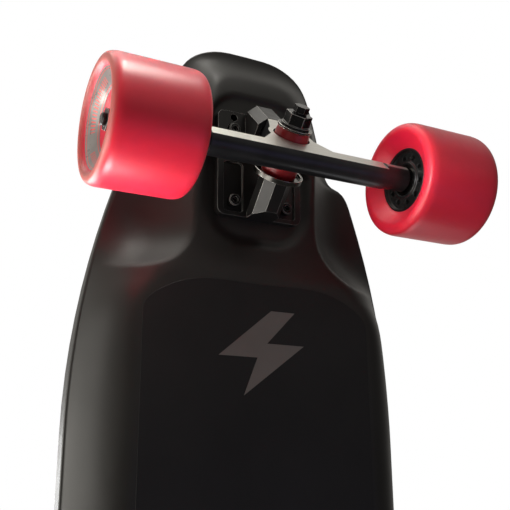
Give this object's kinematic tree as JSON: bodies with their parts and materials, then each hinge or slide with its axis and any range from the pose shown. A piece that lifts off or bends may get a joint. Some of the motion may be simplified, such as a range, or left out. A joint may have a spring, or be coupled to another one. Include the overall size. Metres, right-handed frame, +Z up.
{
  "type": "electric skateboard",
  "caption": "Electric longboard skateboard: hollow composite deck holding battery and controller, two steering trucks, urethane wheels, hub motors in the rear pair.",
  "frame": {"origin": "on the ground under the middle of the deck, board standing on its wheels", "axes": "+X to the nose, +Y to the left when facing the nose, +Z up"},
  "size_m": [0.94, 0.2746, 0.133],
  "materials": {
    "deck_shell": "satin black composite skin",
    "belly_panel": "satin black skid panel",
    "grip_tape": "coarse black grit",
    "urethane": "cast translucent red urethane",
    "bushing_urethane": "red urethane",
    "cup_urethane": "black urethane",
    "black_plastic": "moulded black nylon",
    "matte_black": "moulded matte black",
    "cast_truck": "black cast and machined aluminium",
    "hanger_metal": "black anodised with a bright machined face",
    "steel": "zinc-plated steel",
    "black_steel": "black oxide steel",
    "bright_steel": "polished steel",
    "aluminium": "extruded aluminium",
    "brass": "turned brass",
    "circuit_board": "glass-fibre board",
    "cell_sleeve": "shrink-sleeved cells",
    "copper": "enamelled copper wire",
    "lamination": "stacked silicon steel",
    "magnet": "nickel-plated magnets"
  },
  "bodies": {
    "deck": {"deck_lower_shell": "deck_shell", "deck_upper_shell": "deck_shell", "grip_tape": "grip_tape", "belly_panel": "belly_panel", "battery_case": "matte_black", "battery_case_lid": "matte_black", "battery_cells": "cell_sleeve", "battery_management_board": "circuit_board", "controller_heatsink": "aluminium", "controller_board": "circuit_board", "hinge_leaf_deck": "black_steel", "hinge_pin": "steel", "lid_magnets": "magnet", "button_bezel": "black_plastic", "charge_socket": "black_plastic", "deck_inserts": "brass", "truck_bolts": "black_steel", "front_baseplate": "cast_truck", "rear_baseplate": "cast_truck", "pivot_cups": "cup_urethane", "kingpins": "black_steel", "kingpin_nuts": "black_steel", "front_bushings": "bushing_urethane", "rear_bushings": "bushing_urethane", "cup_washers": "bright_steel"},
    "lid": {"battery_lid": "deck_shell", "lid_grip_tape": "grip_tape", "hinge_leaf_lid": "black_steel", "lid_strikers": "steel"},
    "power_button": {"power_button": "matte_black"},
    "charge_cover": {"charge_cover": "cup_urethane"},
    "front_truck": {"front_hanger": "hanger_metal", "front_axle": "black_steel", "front_axle_nuts": "black_steel", "front_speed_rings": "steel", "front_inner_races": "bright_steel", "front_bearing_spacers": "aluminium"},
    "rear_truck": {"rear_hanger": "hanger_metal", "rear_axle": "black_steel", "rear_axle_nuts": "black_steel", "rear_speed_rings": "steel", "rear_inner_races": "bright_steel", "rear_stators": "lamination", "rear_windings": "copper"},
    "front_left_wheel": {"front_left_tyre": "urethane", "front_left_core": "black_plastic", "front_left_bearings": "bright_steel"},
    "rear_left_wheel": {"rear_left_tyre": "urethane", "rear_left_motor_can": "black_steel", "rear_left_motor_cover": "cast_truck", "rear_left_magnets": "magnet", "rear_left_bearings": "bright_steel"},
    "front_right_wheel": {"front_right_tyre": "urethane", "front_right_core": "black_plastic", "front_right_bearings": "bright_steel"},
    "rear_right_wheel": {"rear_right_tyre": "urethane", "rear_right_motor_can": "black_steel", "rear_right_motor_cover": "cast_truck", "rear_right_magnets": "magnet", "rear_right_bearings": "bright_steel"}
  },
  "joints": [
    {"name": "front_steer", "type": "hinge", "parent": "deck", "child": "front_truck", "pos_m": [0.367, 0, 0.057], "axis": [0.7071, 0, 0.7071], "range_deg": [-12, 12], "stiffness_Nm_per_rad": 60, "deforming": ["front_bushings"]},
    {"name": "rear_steer", "type": "hinge", "parent": "deck", "child": "rear_truck", "pos_m": [-0.367, 0, 0.057], "axis": [-0.7071, 0, 0.7071], "range_deg": [-12, 12], "stiffness_Nm_per_rad": 60, "deforming": ["rear_bushings"]},
    {"name": "front_left_spin", "type": "hinge", "parent": "front_truck", "child": "front_left_wheel", "pos_m": [0.355, 0, 0.04], "axis": [0, 1, 0], "continuous": true},
    {"name": "front_right_spin", "type": "hinge", "parent": "front_truck", "child": "front_right_wheel", "pos_m": [0.355, 0, 0.04], "axis": [0, 1, 0], "continuous": true},
    {"name": "rear_left_spin", "type": "hinge", "parent": "rear_truck", "child": "rear_left_wheel", "pos_m": [-0.355, 0, 0.04], "axis": [0, 1, 0], "continuous": true},
    {"name": "rear_right_spin", "type": "hinge", "parent": "rear_truck", "child": "rear_right_wheel", "pos_m": [-0.355, 0, 0.04], "axis": [0, 1, 0], "continuous": true},
    {"name": "lid_hinge", "type": "hinge", "parent": "deck", "child": "lid", "pos_m": [0.1626, 0, 0.129], "axis": [0, 1, 0], "range_deg": [0, 100]},
    {"name": "button_press", "type": "slide", "parent": "deck", "child": "power_button", "axis": [0, 0, -1], "range_m": [0, 0.0015], "stiffness_N_per_m": 600, "springref_m": -0.001},
    {"name": "cover_swing", "type": "hinge", "parent": "deck", "child": "charge_cover", "pos_m": [-0.43, -0.004, 0.128], "axis": [0, 0, 1], "range_deg": [0, 100]}
  ]
}
